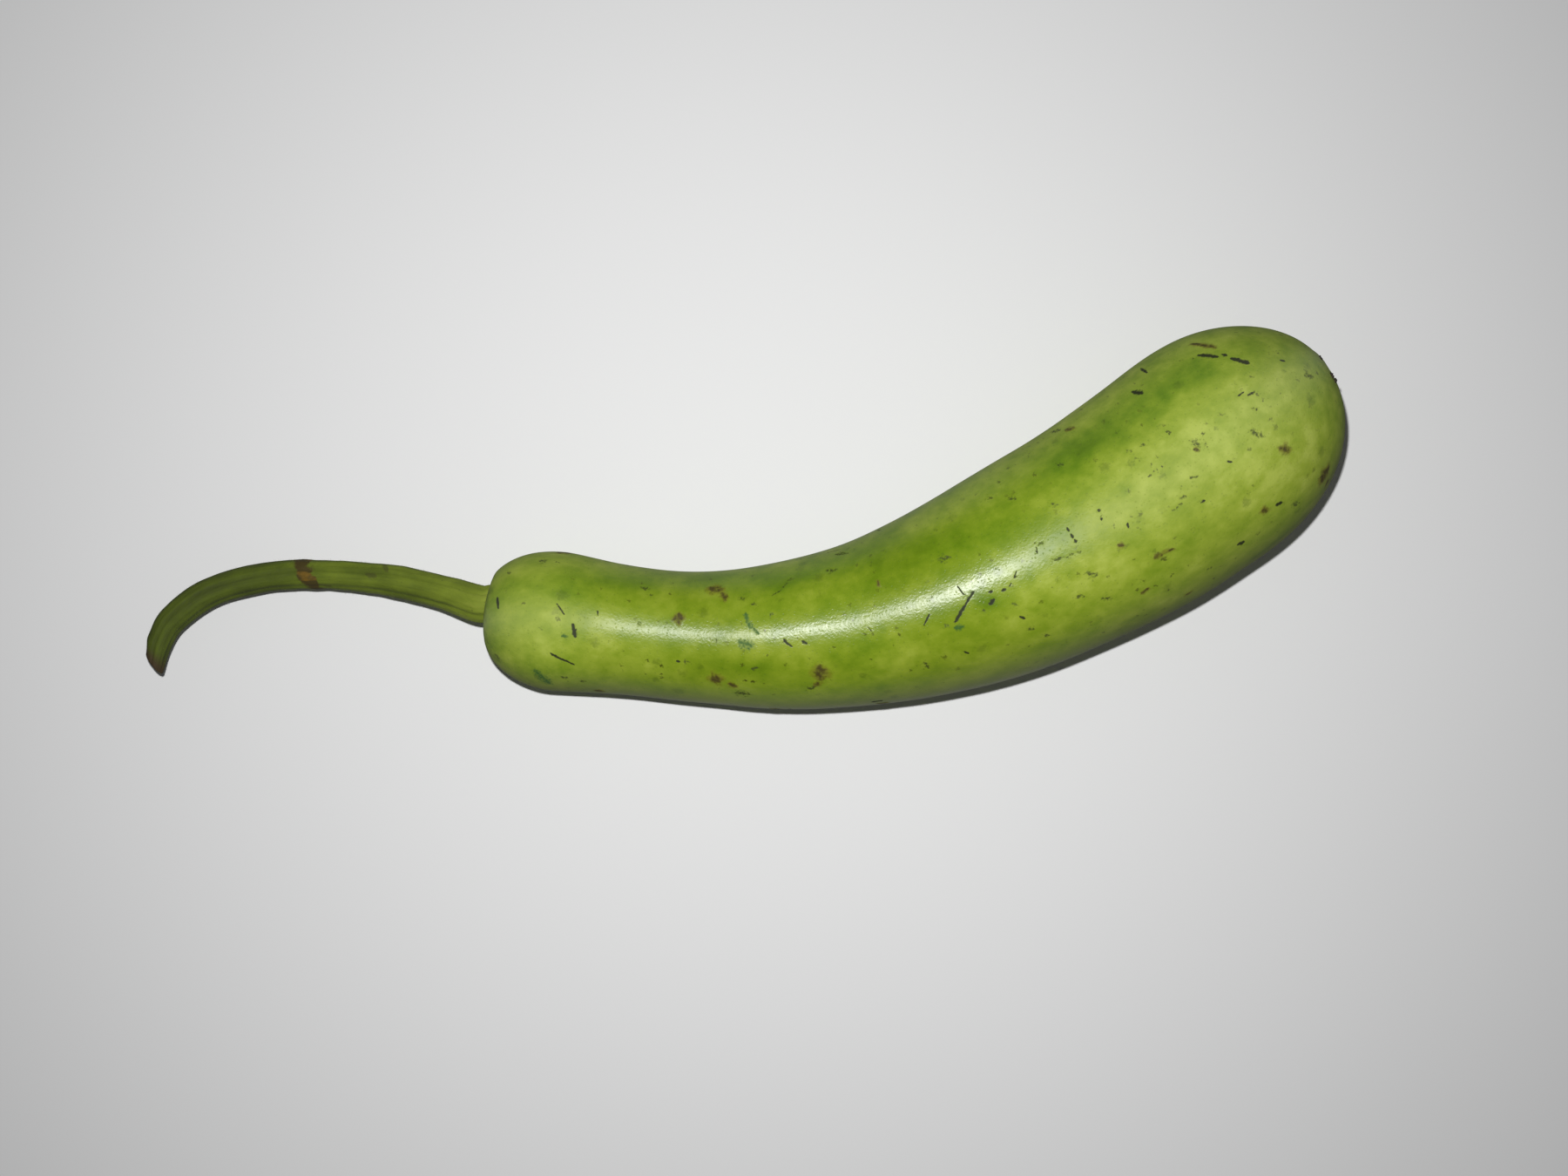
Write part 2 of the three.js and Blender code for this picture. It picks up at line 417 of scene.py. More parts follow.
DEEP_GREEN_SEEN = [
    ((640, 668), (780, 668), 34),
    ((800, 664), (900, 664), 24),
    ((930, 650), (1085, 612), 46),
    ((1010, 650), (1030, 640), 40),
    ((1120, 592), (1260, 498), 44),
    ((1270, 490), (1360, 430), 44),
    ((1118, 688), (1170, 690), 20),
    ((1440, 640), (1500, 590), 12),
    ((820, 765), (880, 772), 20),
]
PALE_SEEN = [
    ((600, 735), (720, 745), 62),
    ((600, 700), (640, 706), 44),
    ((850, 745), (930, 748), 40),
    ((1060, 600), (1190, 560), 36),
    ((1290, 590), (1420, 500), 90),
    ((1385, 505), (1440, 545), 60),
    ((1170, 690), (1290, 640), 44),
    ((1340, 470), (1460, 440), 30),
    ((1490, 470), (1505, 500), 24),
    ((1170, 575), (1190, 565), 22),
    ((590, 660), (700, 680), 20),
]
HIDDEN_SEED = 11
HIDDEN_CUTS = {"count": 16, "longest": 7 * MM, "widest": 0.9 * MM}
HIDDEN_SCABS = {"count": 12, "longest": 4 * MM, "widest": 3.4 * MM}
HIDDEN_BLOTCHES = {"count": 40, "longest": 3.0 * MM, "widest": 2.2 * MM}
HIDDEN_FROM_ENDS = 60
HIDDEN_LOWEST = 1.5 * MM
HIDDEN_STEEPEST = 0.35
OUTLINE_HEIGHT = 30 * MM
OUTSIDE = 60 * MM
MARK_DEPTH = 6 * MM
MARK_SPREAD = 2.0
MARK_END_WIDTH = 0.55
MARK_BELLY = 0.45
SCAR_AIM = Vector((0.765, 0.643, 0.0))
SCAR_RADIUS = 5.2 * MM
SCAR_SHARE = 0.55
BEYOND_SCAR = SCAR_AIM * 30 * MM


def faces_of(mesh):
    """The faces of a mesh, to send rays to."""
    return BVHTree.FromPolygons([v.co for v in mesh.vertices], [list(p.vertices) for p in mesh.polygons])


def on_skin(pixel, surface):
    """The place on a surface, and the way out of it, that a pixel of the photograph shows."""
    x, y = pixel
    towards = Vector((x - PHOTO_WIDTH / 2, PHOTO_HEIGHT / 2 - y, -FOCAL_PIXELS)).normalized()
    place, out, _, _ = surface.ray_cast(EYE, towards)
    if place is None:
        beside = EYE + towards * (EYE.z - OUTLINE_HEIGHT) / -towards.z
        place, out, _, _ = surface.find_nearest(beside)
    return place, out


def seen_marks(strokes, surface):
    """(start, end, way out, half of the width) for each stroke of a list."""
    marks = []
    for start_pixel, end_pixel, width in strokes:
        start, out = on_skin(start_pixel, surface)
        end, out_at_end = on_skin(end_pixel, surface)
        half_width = width / 2 * (EYE.z - start.z) / FOCAL_PIXELS
        marks.append((start, end, (out + out_at_end).normalized(), half_width))
    return marks


def hidden_marks(draw, count, longest, widest):
    """Like marks at random on the sides and the back, which the photograph doesn't show."""
    marks = []
    while len(marks) < count:
        middle = Vector(fruit_line[draw.randrange(HIDDEN_FROM_ENDS, len(fruit_line) - HIDDEN_FROM_ENDS)])
        turn = draw.uniform(0, math.tau)
        away = Vector((math.cos(turn), math.sin(turn), draw.uniform(-0.9, 0.25))).normalized()
        place, out, _, _ = skin_tree.find_nearest(middle + away * OUTSIDE)
        length = draw.uniform(0.25, 1) * longest
        half_width = draw.uniform(0.4, 1) * widest / 2
        if place.z < HIDDEN_LOWEST or out.z > HIDDEN_STEEPEST:
            continue
        sideways = out.cross(Vector((draw.gauss(0, 1), draw.gauss(0, 1), draw.gauss(0, 1)))).normalized()
        marks.append((place - sideways * length / 2, place + sideways * length / 2, out, half_width))
    return marks


def closeness(points, marks, margin=0.0):
    """1 on the middle line of a mark and 0 well outside it, and the greatest of them at each point."""
    most = np.zeros(len(points))
    for start, end, out, half_width in marks:
        reach = (end - start).length / 2 + MARK_SPREAD * half_width + margin + MARK_DEPTH
        near = np.flatnonzero(np.linalg.norm(points - np.array((start + end) / 2), axis=1) < reach)
        offset = points[near] - np.array(start)
        above = offset @ np.array(out)
        offset -= above[:, None] * np.array(out)
        run = np.array(end - start - out * (end - start).dot(out))
        share = np.clip(offset @ run / max(run @ run, 1e-12), 0, 1)
        away = np.linalg.norm(offset - share[:, None] * run, axis=1)
        taper = MARK_END_WIDTH + MARK_BELLY * np.sqrt(1 - (2 * share - 1) ** 2)
        close = 1 - away / (MARK_SPREAD * half_width * taper + margin)
        close[np.abs(above) > MARK_DEPTH] = 0
        most[near] = np.maximum(most[near], close)
    return most


skin_tree = faces_of(fruit_mesh)
draw = random.Random(HIDDEN_SEED)
cuts = seen_marks(CUTS_SEEN, skin_tree) + hidden_marks(draw, **HIDDEN_CUTS)
scabs = seen_marks(SCABS_SEEN, skin_tree) + hidden_marks(draw, **HIDDEN_SCABS)
blotches = seen_marks(BLOTCHES_SEEN, skin_tree) + hidden_marks(draw, **HIDDEN_BLOTCHES)
scar_middle = Vector(fruit_line[-1])
scar_side = SCAR_AIM.cross(Vector((0, 0, 1)))
scar_place, _, _, _ = skin_tree.ray_cast(scar_middle + BEYOND_SCAR, -SCAR_AIM)
scabs.append((scar_place - scar_side * MM, scar_place + scar_side * MM, SCAR_AIM, SCAR_RADIUS * SCAR_SHARE))
stains = seen_marks(STAINS_SEEN, skin_tree)
deep_green = seen_marks(DEEP_GREEN_SEEN, skin_tree)
pale = seen_marks(PALE_SEEN, skin_tree)


# The fine mesh of the skin
# The mesh is made finer where the marks are, and their relief is pressed into it or raised from it.
FINENESS = (
    (scabs + stains, 0.3 * MM, 0.75 * MM),
    (blotches, 0.2 * MM, 0.9 * MM),
    (cuts, 0.2 * MM, 0.4 * MM),
)
RELIEF_FROM = 0.2
CUT_RELIEF = -0.05 * MM
CUT_FULL = 0.9
SCAB_RELIEF = 0.08 * MM
SCAB_FULL = 0.5
BLOTCH_RELIEF = -0.04 * MM
BLOTCH_FULL = 0.6
CRUST_SIZE = 0.9 * MM
CRUST_SHARE = 0.8
CLOUD_DRIFT = 5 * MM
CLOUD_SIZE = 20 * MM
CLOUD_SOFTNESS = 1.2
CLOUD_SEED = 7


def make_finer(mesh, marks, margin, longest_edge):
    """Halves the edges near the marks until none there is longer than that."""
    work = bmesh.new()
    work.from_mesh(mesh)
    while True:
        work.verts.ensure_lookup_table()
        near = closeness(np.array([v.co for v in work.verts]), marks, margin) > 0
        long_edges = [
            edge
            for edge in work.edges
            if (near[edge.verts[0].index] or near[edge.verts[1].index])
            and edge.calc_length() > longest_edge
        ]
        if not long_edges:
            break
        bmesh.ops.subdivide_edges(work, edges=long_edges, cuts=1, use_grid_fill=True)
        work.verts.index_update()
    work.to_mesh(mesh)
    work.free()


def smooth_step(values, start, end):
    share = np.clip((values - start) / (end - start), 0, 1)
    return share * share * (3 - 2 * share)


def clouded(points, marks):
    """Soft clouds round the marks, for the changes of colour under the skin."""
    drift = np.array([noise.noise_vector(Vector(point) / CLOUD_SIZE) for point in points])
    drifted = points + CLOUD_DRIFT * drift
    clear = np.ones(len(points))
    for start, end, out, half_width in marks:
        run = np.array(end - start)
        offset = drifted - np.array(start)
        share = np.clip(offset @ run / (run @ run), 0, 1)
        away = np.linalg.norm(offset - share[:, None] * run, axis=1)
        clear *= 1 - np.exp(-((away / (CLOUD_SOFTNESS * half_width)) ** 2))
    return 1 - clear


def noise_at(points, size):
    return np.array([noise.noise(Vector(point) / size) for point in points])


for marks, margin, longest_edge in FINENESS:
    make_finer(fruit_mesh, marks, margin, longest_edge)
noise.seed_set(CLOUD_SEED)
points = vectors_of(fruit_mesh.vertices, "co")
outward = vectors_of(fruit_mesh.vertex_normals, "vector")
straight = straight_places(points, fruit_line, fruit_along)
lift = np.zeros(len(points))
for size, height in LUMPS:
    lift += height * noise_at(points, size)
lift *= np.clip((straight[:, 0] - SOCKET_CLEAR) / SOCKET_CLEAR, 0, 1)
cut_close = closeness(points, cuts)
scab_close = closeness(points, scabs)
blotch_close = closeness(points, blotches)
crust = 1 + CRUST_SHARE * noise_at(points, CRUST_SIZE)
lift += CUT_RELIEF * smooth_step(cut_close, RELIEF_FROM, CUT_FULL)
lift += SCAB_RELIEF * smooth_step(scab_close, RELIEF_FROM, SCAB_FULL) * crust
lift += BLOTCH_RELIEF * smooth_step(blotch_close, RELIEF_FROM, BLOTCH_FULL)
shaped = points + outward * lift[:, None]
shaped[:, 2] = np.maximum(shaped[:, 2], 0)
fruit_mesh.vertices.foreach_set("co", shaped.ravel())
ahead = np.gradient(fruit_line, axis=0)
steps = np.clip(straight[:, 0] / fruit_length * len(ahead), 0, len(ahead) - 1).astype(int)
for name, values in (
    ("straight", straight),
    ("ahead", ahead[steps] / np.linalg.norm(ahead[steps], axis=1)[:, None]),
    ("cut", cut_close),
    ("scab", scab_close),
    ("blotch", blotch_close),
    ("stain", closeness(points, stains)),
    ("deep", clouded(points, deep_green)),
    ("pale", clouded(points, pale)),
):
    keep_on_points(fruit_mesh, name, values)
fruit_mesh.shade_smooth()
fruit = in_scene("fruit_skin", fruit_mesh)


# The skin's finish
# Waxy yellow-green with deeper green clouds that run along the fruit, painted olive shade darkening its far
# side, a paler belly, fine dark pores, brown corky scabs and cuts that have dried almost black.
SKIN_TONES = (
    (0.0, (0.066, 0.142, 0.003, 1)),
    (0.3, (0.115, 0.214, 0.005, 1)),
    (0.55, (0.188, 0.284, 0.012, 1)),
    (0.8, (0.280, 0.368, 0.030, 1)),
    (1.0, (0.378, 0.460, 0.066, 1)),
)
OLIVE = (0.22, 0.24, 0.008, 1)
# The next colour is painted shade: an olive that darkens the far side of the fruit.
PAINTED_OLIVE_SHADE = (0.105, 0.125, 0.009, 1)
BELLY = (0.42, 0.44, 0.17, 1)
PORE = (0.050, 0.090, 0.004, 1)
FRECKLE = (0.050, 0.058, 0.003, 1)
CUT_DARK = (0.006, 0.008, 0.0, 1)
SCAB_RIM = (0.145, 0.125, 0.001, 1)
SCAB_CORE = (0.048, 0.034, 0.0, 1)
BLOTCH_GREEN = (0.026, 0.036, 0.0, 1)
STAIN_GREEN = (0.014, 0.085, 0.010, 1)
BULB_STARTS = 0.172
BULB_FULL = 0.255
NECK_STARTS = 0.095
NECK_FULL = 0.045
HEAD_STARTS = 0.055
HEAD_FULL = 0.018
# Where the far side is painted darker olive as painted shade, and how strongly.
FAR_SIDE_FROM = 0.60
FAR_SIDE_FULL = 1.35
FAR_SIDE_SHARE = 0.62
UNDERSIDE_FROM = 1.9
UNDERSIDE_FULL = 2.9
BELLY_FROM = -0.020
BELLY_FULL = -0.038
BELLY_SHARE = 0.75
WANDER = 0.0034
SKIN_ROUGHNESS = 0.35
SKIN_ANISOTROPY = 0.80
SKIN_IOR = 1.70
FLESH_GLOW = 0.05
FLESH_RADIUS = (1.0, 1.3, 0.35)
FLESH_DEPTH = 0.0016


def node_group(name, kind, inputs, output, output_kind):
    """A node group: its tree, its inputs and its output node. A number given for an input is its
    default, and a word is the kind of its socket."""
    group = bpy.data.node_groups.new(name, kind)
    group.interface.new_socket(output, in_out="OUTPUT", socket_type="NodeSocket" + output_kind)
    for label, given in inputs.items():
        socket_kind = given if isinstance(given, str) else "Float"
        made = group.interface.new_socket(label, in_out="INPUT", socket_type="NodeSocket" + socket_kind)
        if socket_kind is not given:
            made.default_value = given
    return group, group.nodes.new("NodeGroupInput").outputs, group.nodes.new("NodeGroupOutput")


def streaks_group():
    """Cloudy noise from 0 to 1 that is longer along the piece than round it."""
    group, given, result = node_group(
        "streaks",
        "ShaderNodeTree",
        {"Vector": "Vector", "Length": 0.05, "Width": 0.02, "Detail": 3.0},
        "Value",
        "Float",
    )
    sizes = add(group, "ShaderNodeCombineXYZ", {0: given["Length"], 1: given["Width"], 2: given["Width"]})
    sized = {0: given["Vector"], 1: sizes.outputs[0]}
    scaled = add(group, "ShaderNodeVectorMath", sized, operation="DIVIDE")
    clouds = add(
        group, "ShaderNodeTexNoise", {"Vector": scaled.outputs[0], "Scale": 1.0, "Detail": given["Detail"]}
    )
    put_in(group, result, {"Value": faded(group, clouds.outputs["Fac"], 0.25, 0.75, kind="LINEAR")})
    return group


def specks_group():
    """Round specks on a share of the cells of a random pattern, each of its own size."""
    group, given, result = node_group(
        "specks",
        "ShaderNodeTree",
        {"Vector": "Vector", "Spacing": 0.003, "Size": 0.1, "Share": 0.5},
        "Mask",
        "Float",
    )
    per_metre = math_node(group, "DIVIDE", 1.0, given["Spacing"])
    cells = add(group, "ShaderNodeTexVoronoi", {"Vector": given["Vector"], "Scale": per_metre}).outputs
    dice = add(group, "ShaderNodeSeparateColor", {0: cells["Color"]}).outputs
    own_size = faded(group, dice[1], 0.0, 1.0, low=0.35, kind="LINEAR")
    size = math_node(group, "MULTIPLY", own_size, given["Size"])
    shape = faded(group, cells["Distance"], 0.0, size, low=1.7, high=0.0)
    chosen = math_node(group, "LESS_THAN", dice[0], given["Share"])
    mask = add(group, "ShaderNodeMath", {0: shape, 1: chosen}, operation="MULTIPLY", use_clamp=True)
    put_in(group, result, {"Mask": mask.outputs[0]})
    return group


def torn_edge_group():
    """Turns a mark's closeness into a mask whose edge is broken up by fine noise."""
    group, given, result = node_group(
        "torn_edge",
        "ShaderNodeTree",
        {"Vector": "Vector", "Closeness": 0.0, "Grain": 0.0006, "Tearing": 0.5, "From": 0.2, "To": 0.5},
        "Mask",
        "Float",
    )
    per_metre = math_node(group, "DIVIDE", 1.0, given["Grain"])
    grain = add(group, "ShaderNodeTexNoise", {"Vector": given["Vector"], "Scale": per_metre, "Detail": 3.0})
    level = math_node(group, "SUBTRACT", grain.outputs["Fac"], 0.5)
    torn = math_node(group, "MULTIPLY", level, given["Tearing"])
    inside = math_node(group, "GREATER_THAN", given["Closeness"], 0.0)
    moved = math_node(group, "ADD", given["Closeness"], torn)
    edge = faded(group, moved, given["From"], given["To"])
    put_in(group, result, {"Mask": math_node(group, "MULTIPLY", edge, inside)})
    return group


STREAKS = streaks_group()
SPECKS = specks_group()
TORN_EDGE = torn_edge_group()


def grouped(tree, group, place, **values):
    """Places a node group with its own values, and gives its only output."""
    return add(tree, "ShaderNodeGroup", {"Vector": place, **values}, node_tree=group).outputs[0]


def attribute(tree, name, output="Fac"):
    return add(tree, "ShaderNodeAttribute", attribute_name=name).outputs[output]


def torn_mark(tree, place, name, **shape):
    """The mask of the marks whose closeness is stored under that name."""
    return grouped(tree, TORN_EDGE, place, Closeness=attribute(tree, name), **shape)


def weighted(tree, total, parts):
    """A first value, and each of the others times its weight, added up."""
    for value, weight in parts:
        total = math_node(tree, "ADD", total, math_node(tree, "MULTIPLY", value, weight))
    return total


def ramp(tree, value, tones):
    made = add(tree, "ShaderNodeValToRGB", {0: value})
    stops = made.color_ramp.elements
    while len(stops) < len(tones):
        stops.new(1.0)
    for stop, (at, color) in zip(stops, tones):
        stop.position = at
        stop.color = color
    return made.outputs["Color"]


def skin_material():
    material, tree = new_material("gourd_skin")
    place = attribute(tree, "straight", "Vector")
    clouds = grouped(tree, STREAKS, place, Length=0.085, Width=0.034)
    mottle = grouped(tree, STREAKS, place, Length=0.014, Width=0.012, Detail=5.0)
    flecks = grouped(tree, STREAKS, place, Length=0.0052, Width=0.0050, Detail=3.0)
    grain = grouped(tree, STREAKS, place, Length=0.0026, Width=0.0018)
    lines = grouped(tree, STREAKS, place, Length=0.11, Width=0.0035, Detail=1.0)
    olive = grouped(tree, STREAKS, place, Length=0.05, Width=0.05, Detail=1.0)
    swarms = grouped(tree, STREAKS, place, Length=0.030, Width=0.022, Detail=2.0)

    along, across, over = add(tree, "ShaderNodeSeparateXYZ", {0: place}).outputs
    bulb = faded(tree, along, BULB_STARTS, BULB_FULL)
    neck = faded(tree, along, NECK_STARTS, NECK_FULL)
    head = faded(tree, along, HEAD_STARTS, HEAD_FULL)
    turn = math_node(tree, "ARCTAN2", across, over)
    # The far side is painted olive as shade, fading out again on the underside.
    far_side_painted_shade = faded(tree, turn, FAR_SIDE_FROM, FAR_SIDE_FULL, high=FAR_SIDE_SHARE)
    not_under = faded(tree, turn, UNDERSIDE_FULL, UNDERSIDE_FROM)
    belly = faded(tree, over, BELLY_FROM, BELLY_FULL, high=BELLY_SHARE)

    wander = add(tree, "ShaderNodeTexNoise", {"Vector": place, "Scale": 850.0, "Detail": 3.0})
    drift = {0: wander.outputs["Color"], 1: (WANDER,) * 3, 2: place}
    wandered = add(tree, "ShaderNodeVectorMath", drift, operation="MULTIPLY_ADD").outputs[0]
    pores = grouped(tree, SPECKS, place, Spacing=0.0011, Size=0.45, Share=0.6)
    freckles = grouped(tree, SPECKS, wandered, Spacing=0.0028, Size=0.42, Share=0.22)
    smudges = grouped(tree, SPECKS, wandered, Spacing=0.0075, Size=0.42, Share=0.30)
    blotch = torn_mark(tree, place, "blotch", Grain=0.0009, Tearing=2.7, From=0.22, To=1.20)
    stain = torn_mark(tree, place, "stain", Grain=0.0009, Tearing=1.9, From=0.05, To=1.05)
    scab_rim = torn_mark(tree, place, "scab", Grain=0.0016, Tearing=1.7, From=-0.2, To=0.8)
    scab_core = torn_mark(tree, place, "scab", Grain=0.0014, Tearing=1.9, From=0.25, To=1.10)
    cut = torn_mark(tree, place, "cut", Grain=0.0010, Tearing=1.2, From=0.15, To=0.72)

    tone = weighted(tree, 0.06, (
        (clouds, 0.24),
        (mottle, 0.34),
        (flecks, 0.28),
        (grain, 0.10),
        (lines, 0.03),
        (bulb, 0.10),
        (attribute(tree, "pale"), 0.24),
        (attribute(tree, "deep"), -0.31),
    ))
    color = ramp(tree, tone, SKIN_TONES)
    for paint, mask, share in (
        (OLIVE, olive, 0.2),
        # painted shade on the far side
        (PAINTED_OLIVE_SHADE, far_side_painted_shade, not_under),
        (BELLY, belly, mottle),
        (PORE, pores, 0.18),
        (PORE, smudges, 0.34),
        (FRECKLE, freckles, swarms),
        (BLOTCH_GREEN, blotch, 0.85),
        (STAIN_GREEN, stain, 0.85),
        (SCAB_RIM, scab_rim, 0.7),
        (SCAB_CORE, scab_core, 0.92),
        (CUT_DARK, cut, 0.94),
    ):
        color = painted(tree, color, paint, mask, share)

    roughness = weighted(tree, SKIN_ROUGHNESS, (
        (grain, 0.06),
        (scab_rim, 0.6),
        (cut, 0.6),
        (blotch, 0.6),
        (stain, 0.5),
        (pores, 0.1),
        (bulb, 0.50),
        (neck, 0.10),
        (head, 0.42),
    ))
    dimples = add(tree, "ShaderNodeTexNoise", {"Vector": place, "Scale": 320.0, "Detail": 1.0})
    peel = add(tree, "ShaderNodeTexNoise", {"Vector": place, "Scale": 1100.0, "Detail": 1.0})
    height = weighted(
        tree, 0.0, ((dimples.outputs["Fac"], 0.25), (peel.outputs["Fac"], 0.5), (pores, -0.2))
    )
    bump = add(tree, "ShaderNodeBump", {"Strength": 1.0, "Distance": 0.00013, "Height": height})
    put_in(
        tree,
        tree.nodes["Principled BSDF"],
        {
            "Base Color": color,
            "Roughness": roughness,
            "Normal": bump.outputs["Normal"],
            "Tangent": attribute(tree, "ahead", "Vector"),
            "Anisotropic": SKIN_ANISOTROPY,
            "IOR": SKIN_IOR,
            "Subsurface Weight": FLESH_GLOW,
            "Subsurface Radius": FLESH_RADIUS,
            "Subsurface Scale": FLESH_DEPTH,
        },
    )
    return material


fruit_mesh.materials.clear()
fruit_mesh.materials.append(skin_material())
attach(fruit, "root")
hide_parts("fruit")


# The crumbs of the flower
# A few dark crumbs of the dried flower, left on and round its corky scar.
CRUMBS_SEEN = [(1515, 410), (1516.5, 412), (1527.5, 429.5), (1529, 432.5), (1532, 437)]
CRUMBS = 6
CRUMB_SIZE = 1.3 * MM
CRUMB_SEED = 5
CRUMB_SHRUNK = (0.7, 0.7, 0.7)
CRUMB_GROWN = (1.4, 1.2, 1.3)
CRUMB_TURN = (3.0, 3.0, 3.0)
CRUMB_ROUGHNESS = 0.85
CRUMB_TONES = ((0.35, (0.010, 0.008, 0.004, 1)), (0.7, (0.042, 0.030, 0.014, 1)))


def grown(name, mesh, tree, values):
    """The plain mesh that a Geometry Nodes tree makes from a mesh, with a value for each input."""
    maker = in_scene(name + "_maker", mesh)
    modifier = maker.modifiers.new("grow", "NODES")
    modifier.node_group = tree
    for item in tree.interface.items_tree:
        if item.item_type == "SOCKET" and item.in_out == "INPUT" and item.name in values:
            modifier[item.identifier] = values[item.name]
    made = finished_mesh(maker, name)
    maker.modifiers.remove(modifier)
    bpy.data.objects.remove(maker)
    return made


def finish_tree(tree, result, shape, material, smooth=True):
    """Ends a Geometry Nodes tree with real geometry in its material."""
    shape = add(tree, "GeometryNodeRealizeInstances", {0: shape}).outputs[0]
    if smooth:
        shape = add(tree, "GeometryNodeSetShadeSmooth", {0: shape}).outputs[0]
    dressed = add(tree, "GeometryNodeSetMaterial", {"Geometry": shape, "Material": material})
    put_in(tree, result, {"Geometry": dressed.outputs[0]})


def random_value(tree, kind, inputs):
    return add(tree, "FunctionNodeRandomValue", inputs, data_type=kind).outputs


def crumb_material():
    material, tree = new_material("dried_flower")
    place = add(tree, "ShaderNodeTexCoord").outputs["Object"]
    patches = add(tree, "ShaderNodeTexNoise", {"Vector": place, "Scale": 900.0, "Detail": 2.0}).outputs[0]
    bump = add(tree, "ShaderNodeBump", {"Strength": 0.6, "Distance": 0.0002, "Height": patches})
    put_in(
        tree,
        tree.nodes["Principled BSDF"],
        {
            "Base Color": ramp(tree, patches, CRUMB_TONES),
            "Normal": bump.outputs["Normal"],
            "Roughness": CRUMB_ROUGHNESS,
        },
    )
    return material


def crumbs_tree():
    """Small uneven crumbs at random sizes and turns, on every vertex of the mesh that it is given."""
    tree, given, result = node_group(
        "flower_crumbs",
        "GeometryNodeTree",
        {"Places": "Geometry", "Size": "Float", "Seed": "Int", "Material": "Material"},
        "Geometry",
        "Geometry",
    )
    crumb = add(tree, "GeometryNodeMeshIcoSphere", {"Radius": given["Size"], "Subdivisions": 2})
    here = add(tree, "GeometryNodeInputPosition").outputs[0]
    rough = add(tree, "ShaderNodeTexNoise", {"Vector": here, "Scale": 2400.0})
    push = math_node(tree, "MULTIPLY", rough.outputs["Fac"], 1.1)
    pushed = add(tree, "ShaderNodeVectorMath", {0: here, "Scale": push}, operation="SCALE").outputs[0]
    crumb = add(tree, "GeometryNodeSetPosition", {"Geometry": crumb.outputs["Mesh"], "Position": pushed})
    least_turn = tuple(-most for most in CRUMB_TURN)
    turn = random_value(tree, "FLOAT_VECTOR", {0: least_turn, 1: CRUMB_TURN, "Seed": given["Seed"]})
    size = random_value(tree, "FLOAT_VECTOR", {0: CRUMB_SHRUNK, 1: CRUMB_GROWN, "Seed": given["Seed"]})
    placed = add(
        tree,
        "GeometryNodeInstanceOnPoints",
        {
            "Points": given["Places"],
            "Instance": crumb.outputs["Geometry"],
            "Rotation": turn[0],
            "Scale": size[0],
        },
    )
    finish_tree(tree, result, placed.outputs[0], given["Material"])
    return tree


skin_tree = faces_of(fruit_mesh)
draw = random.Random(CRUMB_SEED)
crumb_places = [on_skin(pixel, skin_tree)[0] for pixel in CRUMBS_SEEN]
for i in range(CRUMBS):
    turn = draw.uniform(0, math.tau)
    out = scar_side * math.cos(turn) + Vector((0, 0, 1)) * math.sin(turn)
    start = scar_middle + out * SCAR_RADIUS * draw.uniform(0.2, 1.15) + BEYOND_SCAR
    place, _, _, _ = skin_tree.ray_cast(start, -SCAR_AIM)
    crumb_places.append(place)
places_mesh = bpy.data.meshes.new("crumb_places")
places_mesh.from_pydata(crumb_places, [], [])
crumbs_mesh = grown(
    "flower_crumbs",
    places_mesh,
    crumbs_tree(),
    {"Size": CRUMB_SIZE, "Seed": CRUMB_SEED, "Material": crumb_material()},
)
crumbs_piece = in_scene("flower_crumbs", crumbs_mesh)
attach(crumbs_piece, "root")


# The stalk
# A tough five-ribbed green stem that twists slowly and hooks over to its cut end. A brown ring is
# left where a leaf stood. Its middle line and its radii are those of the CAD solid.
STALK_LINE = np.array([
    (-80.0, -29.0, 25.2),
    (-84.7, -29.1, 25.2),
    (-89.7, -29.3, 25.2),
    (-101.4, -25.7, 22.0),
    (-119.4, -21.4, 19.0),
    (-138.4, -19.2, 16.5),
    (-157.4, -18.7, 15.0),
    (-174.9, -20.7, 15.0),
    (-190.2, -25.7, 16.0),
    (-201.4, -34.3, 17.5),
    (-206.2, -42.5, 18.5),
    (-208.1, -50.7, 19.0),
]) * MM
STALK_RADII = np.array([6.9, 6.6, 5.9, 5.8, 5.4, 5.3, 5.4, 5.4, 5.4, 5.0, 3.7]) * MM
STALK_CURVE_POINTS = 600
STALK_RINGS = 300
STALK_SIDES = 84
RIBS = 5
RIB_DEPTH = 0.085
FINE_RIBS = 15
FINE_RIB_DEPTH = 0.012
RIB_TWIST = 0.7
STALK_LUMPS = ((14 * MM, 0.30 * MM), (4 * MM, 0.10 * MM))
ROOT_LEVEL = (4 * MM, 14 * MM)
SLANT = 0.85
SLANT_REACH = 12 * MM
ROOT_END = ((0.6, 0.0), (0.3, 0.0))
CUT_END = ((0.94, 0.35), (0.86, 0.15), (0.86, -0.35), (0.82, -0.8), (0.75, -0.5), (0.6, -0.1), (0.4, 0.1))
RING_PIXEL = (350, 659)
RING_SLANT = 0.5
RING_WIDTH = 4.0 * MM
RING_HEIGHT = 0.3 * MM
STALK_STAINS_SEEN = [
    ((436, 646), (441, 648), 5),
    ((420, 659), (431, 661), 5),
    ((366, 671), (380, 673), 4),
]
NEAR_FRUIT = (10 * MM, 34 * MM)
NEAR_CUT = (62 * MM, 100 * MM)
DRIED_LENGTH = 6 * MM
DRIED_FULL = 0.5 * MM
PITH_LENGTH = 2 * MM
PITH_SHARE = 0.82
FIBRE_SCALE = 0.006
